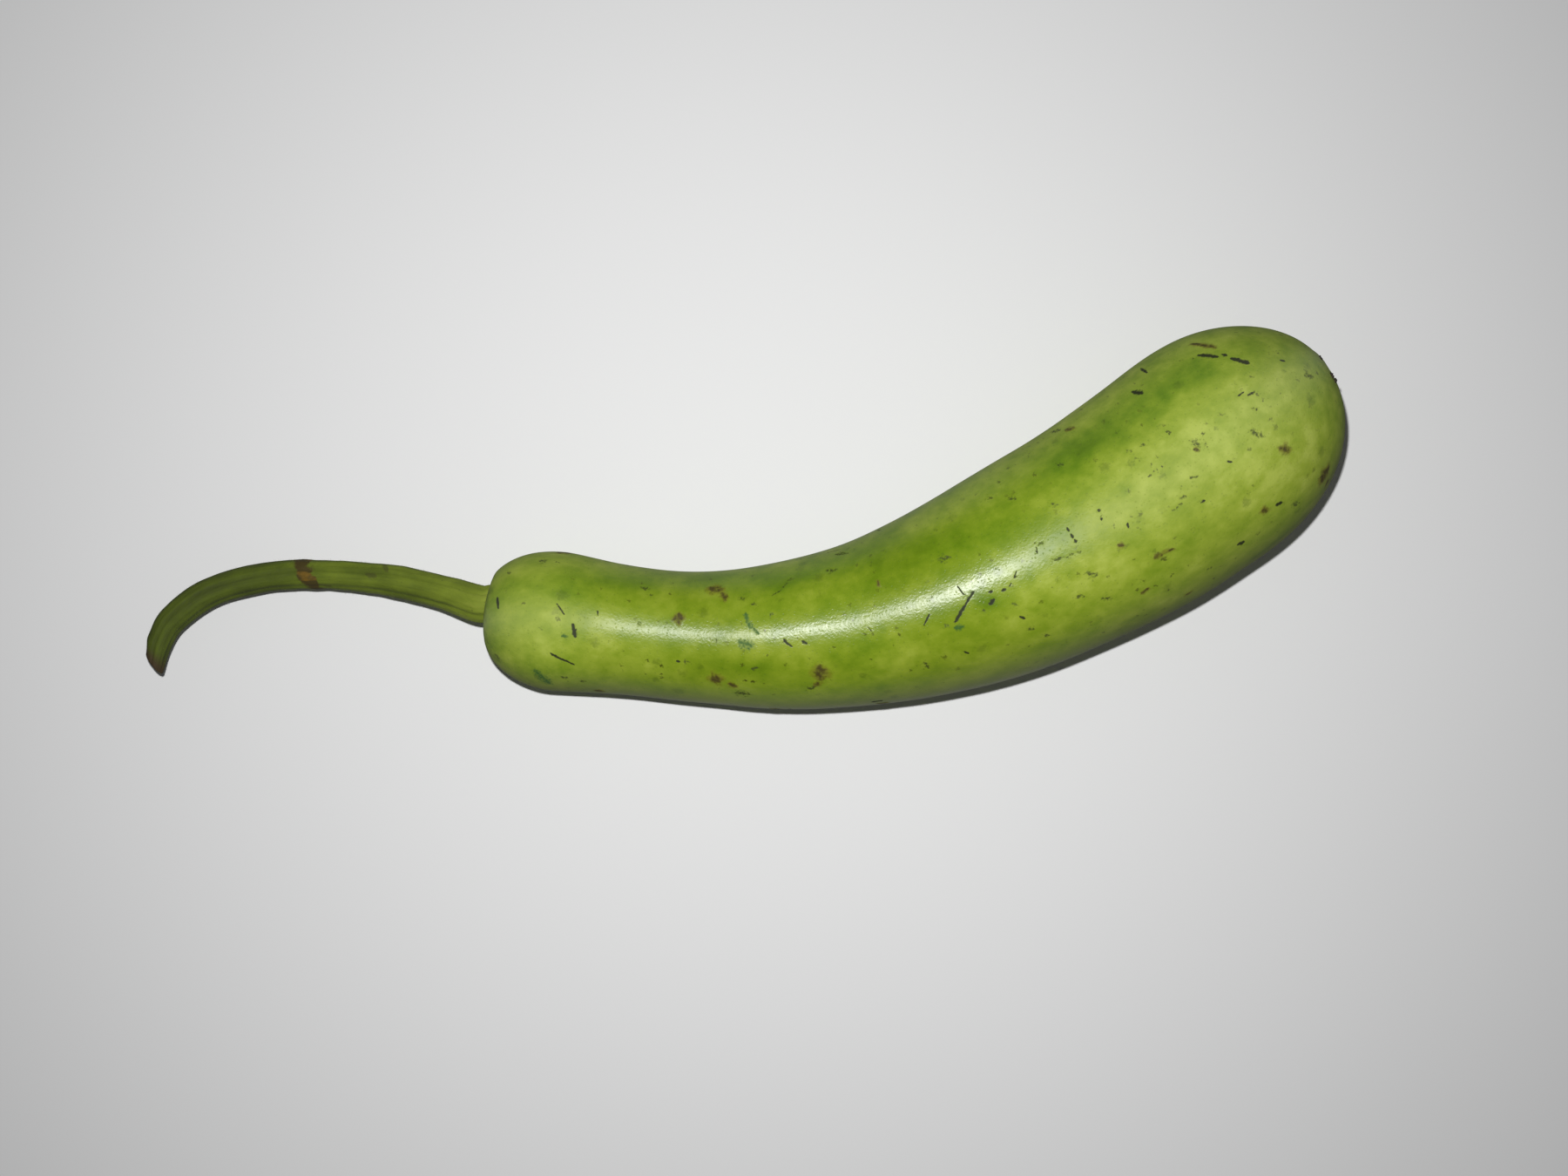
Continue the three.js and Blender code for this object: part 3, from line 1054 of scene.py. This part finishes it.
STALK_TONES = (
    (0.0, (0.036, 0.050, 0.0005, 1)),
    (0.35, (0.080, 0.113, 0.001, 1)),
    (0.65, (0.155, 0.205, 0.009, 1)),
    (1.0, (0.300, 0.345, 0.045, 1)),
)
STALK_SPECK = (0.045, 0.060, 0.006, 1)
RING_BROWNS = ((0.42, (0.150, 0.080, 0.002, 1)), (0.58, (0.048, 0.030, 0.0005, 1)))
STAIN_DARK = (0.045, 0.048, 0.004, 1)
DRIED_RIND = (0.045, 0.026, 0.007, 1)
DRIED_PITH = (0.190, 0.105, 0.028, 1)
STALK_ROUGHNESS = 0.78


def path_mesh(name, points, **values):
    """A line of vertices joined by edges, each with its values."""
    mesh = bpy.data.meshes.new(name)
    mesh.from_pydata(points, [(i, i + 1) for i in range(len(points) - 1)], [])
    for label, numbers in values.items():
        keep_on_points(mesh, label, numbers)
    return mesh


def ribbed_stem_tree():
    """A ribbed round profile swept along a path, turning slowly as it goes."""
    tree, size, result = node_group(
        "ribbed_stem",
        "GeometryNodeTree",
        {
            "Path": "Geometry",
            "Sides": "Int",
            "Ribs": "Float",
            "Rib Depth": "Float",
            "Fine Ribs": "Float",
            "Fine Depth": "Float",
            "Twist": "Float",
            "Material": "Material",
        },
        "Geometry",
        "Geometry",
    )
    circle = add(tree, "GeometryNodeCurvePrimitiveCircle", {"Resolution": size["Sides"], "Radius": 1.0})
    here = add(tree, "GeometryNodeInputPosition").outputs[0]
    across = add(tree, "ShaderNodeSeparateXYZ", {0: here}).outputs
    turn = math_node(tree, "ARCTAN2", across[0], math_node(tree, "MULTIPLY", across[1], -1.0))
    half_ribs = math_node(tree, "MULTIPLY", size["Ribs"], 0.5)
    wave = math_node(tree, "COSINE", math_node(tree, "MULTIPLY", turn, half_ribs), 0.0)
    raised = math_node(tree, "POWER", math_node(tree, "ABSOLUTE", wave, 0.0), 0.8)
    groove_and_painted_shade = math_node(tree, "SUBTRACT", 1.0, raised)
    fine_wave = math_node(tree, "COSINE", math_node(tree, "MULTIPLY", turn, size["Fine Ribs"]), 0.0)
    radius = math_node(tree, "SUBTRACT", 1.0, math_node(tree, "MULTIPLY", groove_and_painted_shade, size["Rib Depth"]))
    radius = math_node(tree, "ADD", radius, math_node(tree, "MULTIPLY", fine_wave, size["Fine Depth"]))
    place = add(tree, "ShaderNodeVectorMath", {0: here, "Scale": radius}, operation="SCALE").outputs[0]
    profile = add(tree, "GeometryNodeSetPosition", {"Geometry": circle.outputs[0], "Position": place})
    # The groove share is also kept on the mesh, for the material to paint shade into the grooves.
    for name, kind, value in (("side", "FLOAT_VECTOR", here), ("groove_and_painted_shade", "FLOAT", groove_and_painted_shade)):
        kept = {"Geometry": profile.outputs[0], "Name": name, "Value": value}
        profile = add(tree, "GeometryNodeStoreNamedAttribute", kept, data_type=kind)
    path = add(tree, "GeometryNodeMeshToCurve", {0: size["Path"]})
    upright = add(tree, "GeometryNodeSetCurveNormal", {0: path.outputs[0]}, mode="Z_UP")
    share = add(tree, "GeometryNodeSplineParameter").outputs["Factor"]
    turned_back = math_node(tree, "MULTIPLY", math_node(tree, "MULTIPLY", share, size["Twist"]), -1.0)
    tilted = add(tree, "GeometryNodeSetCurveTilt", {0: upright.outputs[0], "Tilt": turned_back})
    thickness = add(tree, "GeometryNodeInputNamedAttribute", {"Name": "thickness"}, data_type="FLOAT")
    swept = add(
        tree,
        "GeometryNodeCurveToMesh",
        {"Curve": tilted.outputs[0], "Profile Curve": profile.outputs[0], "Scale": thickness.outputs[0]},
    )
    finish_tree(tree, result, swept.outputs[0], size["Material"])
    return tree


def corners_number(face, count):
    """A number that no other face has, from a face's three lowest corners among count points."""
    number = 0
    for index in sorted(vert.index for vert in face.verts)[:3]:
        number = number * count + index
    return number


def close_end(mesh, line, end, steps):
    """Draws the open end of a tube in to a point, in steps of (its radius times, millimetres on)."""
    inner = 1 if end == 0 else -2
    middle = Vector(line[end])
    onward = (middle - Vector(line[inner])).normalized()
    work = bmesh.new()
    work.from_mesh(mesh)
    ring = [e for e in work.edges if e.is_boundary and (e.verts[0].co - middle).length < 10 * MM]
    for times, further in steps:
        made = bmesh.ops.extrude_edge_only(work, edges=ring)["geom"]
        rim = [part for part in made if isinstance(part, bmesh.types.BMVert)]
        ring = [part for part in made if isinstance(part, bmesh.types.BMEdge) and part.is_boundary]
        moved_on = onward * further * MM
        for vert in rim:
            vert.co = middle + (vert.co - middle) * times + moved_on
        middle = middle + moved_on
    bmesh.ops.pointmerge(work, verts=rim, merge_co=middle)
    bmesh.ops.recalc_face_normals(work, faces=work.faces)
    # Blender makes the new faces in any order, and the hairs stand by it, so they are sorted.
    work.verts.index_update()
    count = len(work.verts)
    work.faces.sort(key=lambda face: corners_number(face, count))
    work.to_mesh(mesh)
    work.free()


def stalk_material():
    material, tree = new_material("gourd_stalk")
    side = add(tree, "ShaderNodeSeparateXYZ", {0: attribute(tree, "side", "Vector")}).outputs
    round_it = [math_node(tree, "MULTIPLY", side[i], FIBRE_SCALE) for i in range(2)]
    unrolled = {0: attribute(tree, "along"), 1: round_it[0], 2: round_it[1]}
    place = add(tree, "ShaderNodeCombineXYZ", unrolled).outputs[0]
    fibres = grouped(tree, STREAKS, place, Length=0.030, Width=0.0020, Detail=2.0)
    patches = grouped(tree, STREAKS, place, Length=0.012, Width=0.006, Detail=4.0)
    grain = grouped(tree, STREAKS, place, Length=0.0016, Width=0.0006)
    specks = grouped(tree, SPECKS, place, Spacing=0.0016, Size=0.24, Share=0.4)
    ring = torn_mark(tree, place, "ring", Grain=0.0026, Tearing=2.0, From=0.12, To=0.55)
    stain = torn_mark(tree, place, "stain", Grain=0.0010, Tearing=0.8, From=0.1, To=0.7)
    tone = weighted(tree, 0.17, (
        (fibres, 0.22),
        (patches, 0.30),
        (grain, 0.06),
        # painted shade: the grooves between the ribs are darkened
        (attribute(tree, "groove_and_painted_shade"), -0.12),
        (attribute(tree, "near_fruit"), 0.26),
        (attribute(tree, "near_cut"), -0.26),
    ))
    color = ramp(tree, tone, STALK_TONES)
    for paint, mask, share in (
        (STALK_SPECK, specks, 0.55),
        (ramp(tree, patches, RING_BROWNS), ring, 0.95),
        (STAIN_DARK, stain, 0.6),
        (DRIED_RIND, attribute(tree, "dried"), 1.0),
        (DRIED_PITH, attribute(tree, "pith"), weighted(tree, 0.35, ((grain, 0.65),))),
    ):
        color = painted(tree, color, paint, mask, share)
    height = weighted(tree, fibres, ((grain, 0.8),))
    bump = add(tree, "ShaderNodeBump", {"Strength": 0.8, "Distance": 0.00012, "Height": height})
    put_in(
        tree,
        tree.nodes["Principled BSDF"],
        {
            "Base Color": color,
            "Roughness": weighted(tree, STALK_ROUGHNESS, ((grain, 0.12),)),
            "Normal": bump.outputs["Normal"],
        },
    )
    return material


stalk_line, stalk_along = even_steps(smooth_through(STALK_LINE, STALK_CURVE_POINTS), STALK_RINGS)
stalk_length = stalk_along[-1]
stalk_path = path_mesh(
    "stalk_path",
    stalk_line,
    thickness=smooth_through(STALK_RADII, STALK_RINGS),
    along=stalk_along,
)
stalk_mesh = grown(
    "stalk_stem",
    stalk_path,
    ribbed_stem_tree(),
    {
        "Sides": STALK_SIDES,
        "Ribs": float(RIBS),
        "Rib Depth": RIB_DEPTH,
        "Fine Ribs": float(FINE_RIBS),
        "Fine Depth": FINE_RIB_DEPTH,
        "Twist": RIB_TWIST,
        "Material": stalk_material(),
    },
)
close_end(stalk_mesh, stalk_line, 0, ROOT_END)
close_end(stalk_mesh, stalk_line, -1, CUT_END)

points = vectors_of(stalk_mesh.vertices, "co")
outward = vectors_of(stalk_mesh.vertex_normals, "vector")
straight = straight_places(points, stalk_line, stalk_along)
from_middle = np.hypot(straight[:, 1], straight[:, 2])
stalk_tree = faces_of(stalk_mesh)
ring_place, _ = on_skin(RING_PIXEL, stalk_tree)
ring_along = straight_places(np.array([ring_place]), stalk_line, stalk_along)[0]
from_ring = straight[:, 0] - ring_along[0] - RING_SLANT * (straight[:, 1] - ring_along[1])
ring_close = np.clip(1 - np.abs(from_ring) / RING_WIDTH, 0, 1)
lift = RING_HEIGHT * ring_close
for size, height in STALK_LUMPS:
    lift += height * noise_at(points, size)
lift *= smooth_step(straight[:, 0], *ROOT_LEVEL)
shaped = points + outward * lift[:, None]
tip = smooth_step(straight[:, 0], stalk_length - SLANT_REACH, stalk_length)
onward = (stalk_line[-1] - stalk_line[-2]) / np.linalg.norm(stalk_line[-1] - stalk_line[-2])
shaped -= onward * (straight[:, 1] * SLANT * tip)[:, None]
stalk_mesh.vertices.foreach_set("co", shaped.ravel())
in_cut = straight[:, 0] > stalk_length - PITH_LENGTH
in_pith = in_cut & (from_middle < PITH_SHARE * STALK_RADII[-1])
for name, values in (
    ("ring", ring_close),
    ("stain", closeness(points, seen_marks(STALK_STAINS_SEEN, stalk_tree))),
    ("near_fruit", 1 - smooth_step(straight[:, 0], *NEAR_FRUIT)),
    ("near_cut", smooth_step(straight[:, 0], *NEAR_CUT)),
    ("dried", smooth_step(straight[:, 0], stalk_length - DRIED_LENGTH, stalk_length - DRIED_FULL)),
    ("pith", in_pith.astype(float)),
):
    keep_on_points(stalk_mesh, name, values)
stalk_mesh.shade_smooth()
stalk = in_scene("stalk_stem", stalk_mesh)
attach(stalk, "root")
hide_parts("stalk")


# The stalk's hairs
# Short soft translucent hairs that stand off the stalk and lean at random.
HAIRS_PER_METRE = 520000.0
HAIR_LENGTH = 0.85 * MM
HAIR_RADIUS = 0.024 * MM
HAIR_LEAN = 0.55
HAIR_SEED = 3
HAIR_SHORTEST = 0.45
HAIR_LONGEST = 1.15
HAIR_TONES = ((0.3, (0.10, 0.14, 0.02, 1)), (0.7, (0.24, 0.28, 0.07, 1)))
HAIR_ROUGHNESS = 0.7


def hairs_tree():
    """Thin cones on a surface, which stand along its normals with a random lean and length."""
    tree, size, result = node_group(
        "soft_hairs",
        "GeometryNodeTree",
        {
            "Surface": "Geometry",
            "Density": "Float",
            "Length": "Float",
            "Radius": "Float",
            "Lean": "Float",
            "Seed": "Int",
            "Material": "Material",
        },
        "Geometry",
        "Geometry",
    )
    spread = add(
        tree,
        "GeometryNodeDistributePointsOnFaces",
        {"Mesh": size["Surface"], "Density": size["Density"], "Seed": size["Seed"]},
    )
    hair = add(
        tree,
        "GeometryNodeMeshCone",
        {"Vertices": 3, "Radius Top": 0.0, "Radius Bottom": size["Radius"], "Depth": size["Length"]},
    )
    least, most = (
        add(tree, "ShaderNodeCombineXYZ", dict.fromkeys(range(3), lean)).outputs[0]
        for lean in (math_node(tree, "MULTIPLY", size["Lean"], -1.0), size["Lean"])
    )
    lean = random_value(tree, "FLOAT_VECTOR", {0: least, 1: most, "Seed": size["Seed"]})[0]
    leaned = add(
        tree, "FunctionNodeRotateRotation", {0: spread.outputs["Rotation"], 1: lean}, rotation_space="LOCAL"
    )
    lengths = random_value(tree, "FLOAT", {2: HAIR_SHORTEST, 3: HAIR_LONGEST, "Seed": size["Seed"]})[1]
    placed = add(
        tree,
        "GeometryNodeInstanceOnPoints",
        {
            "Points": spread.outputs["Points"],
            "Instance": hair.outputs["Mesh"],
            "Rotation": leaned.outputs[0],
            "Scale": lengths,
        },
    )
    finish_tree(tree, result, placed.outputs[0], size["Material"], smooth=False)
    return tree


def hair_material():
    material, tree = new_material("soft_hair")
    place = add(tree, "ShaderNodeTexCoord").outputs["Object"]
    patches = add(tree, "ShaderNodeTexNoise", {"Vector": place, "Scale": 300.0}).outputs[0]
    looks = {"Base Color": ramp(tree, patches, HAIR_TONES), "Roughness": HAIR_ROUGHNESS}
    put_in(tree, tree.nodes["Principled BSDF"], looks)
    return material


hairs_mesh = grown(
    "stalk_hairs",
    stalk_mesh,
    hairs_tree(),
    {
        "Density": HAIRS_PER_METRE,
        "Length": HAIR_LENGTH,
        "Radius": HAIR_RADIUS,
        "Lean": HAIR_LEAN,
        "Seed": HAIR_SEED,
        "Material": hair_material(),
    },
)
hairs = in_scene("stalk_hairs", hairs_mesh)
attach(hairs, "root")
